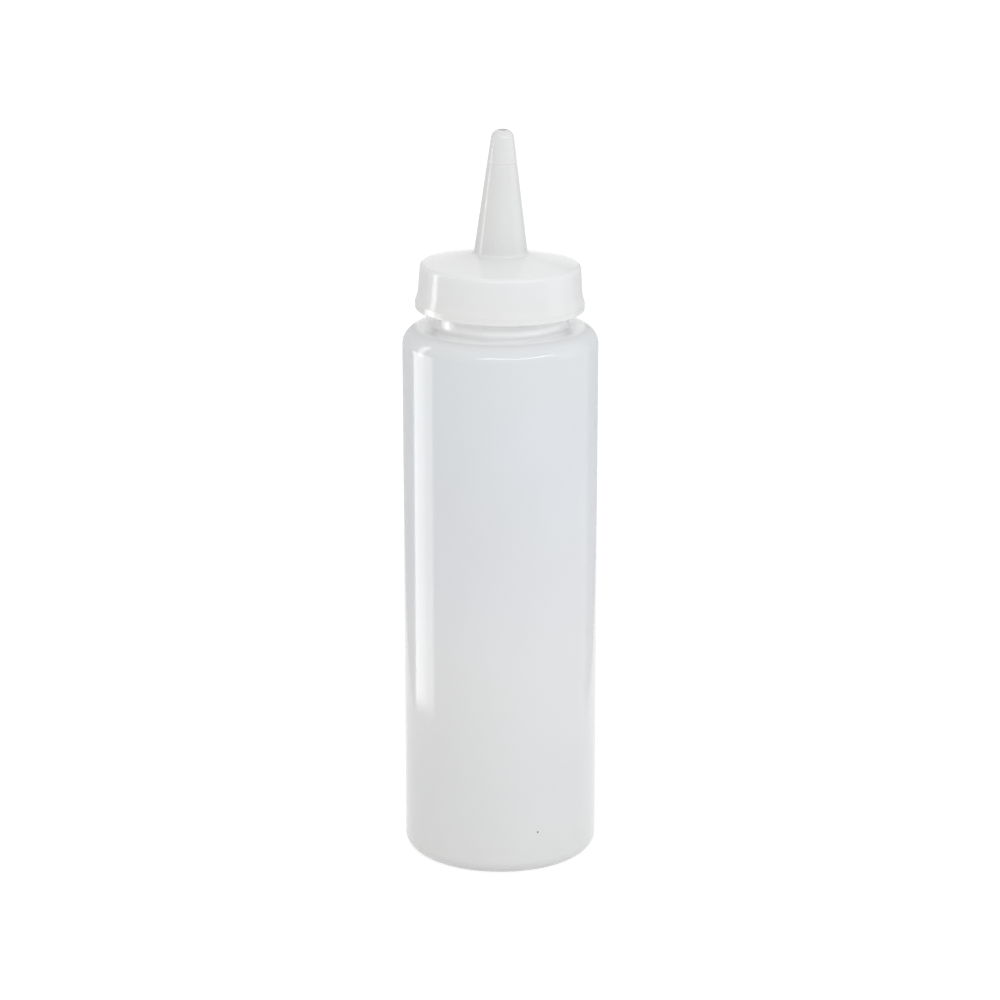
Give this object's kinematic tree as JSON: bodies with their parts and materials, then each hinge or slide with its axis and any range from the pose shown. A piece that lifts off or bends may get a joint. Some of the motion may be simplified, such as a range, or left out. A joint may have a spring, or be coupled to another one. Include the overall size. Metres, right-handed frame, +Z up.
{
  "type": "squeeze bottle",
  "caption": "Milky soft-plastic squeeze bottle for sauce, a straight round body with a screw cap and a tapered nozzle.",
  "frame": {"origin": "middle of the base, on the surface that the bottle stands on", "axes": "+Z up along the bottle towards the nozzle; the cap leans a little towards +X; -Y faces the viewer"},
  "size_m": [0.051, 0.051, 0.194],
  "materials": {
    "bottle_plastic": "natural low-density polyethylene, milky and translucent, smooth with a soft gloss",
    "cap_plastic": "natural low-density polyethylene, milky and translucent, smooth and slightly waxy"
  },
  "bodies": {
    "root": {"bottle": "bottle_plastic", "cap": "cap_plastic"}
  },
  "joints": []
}
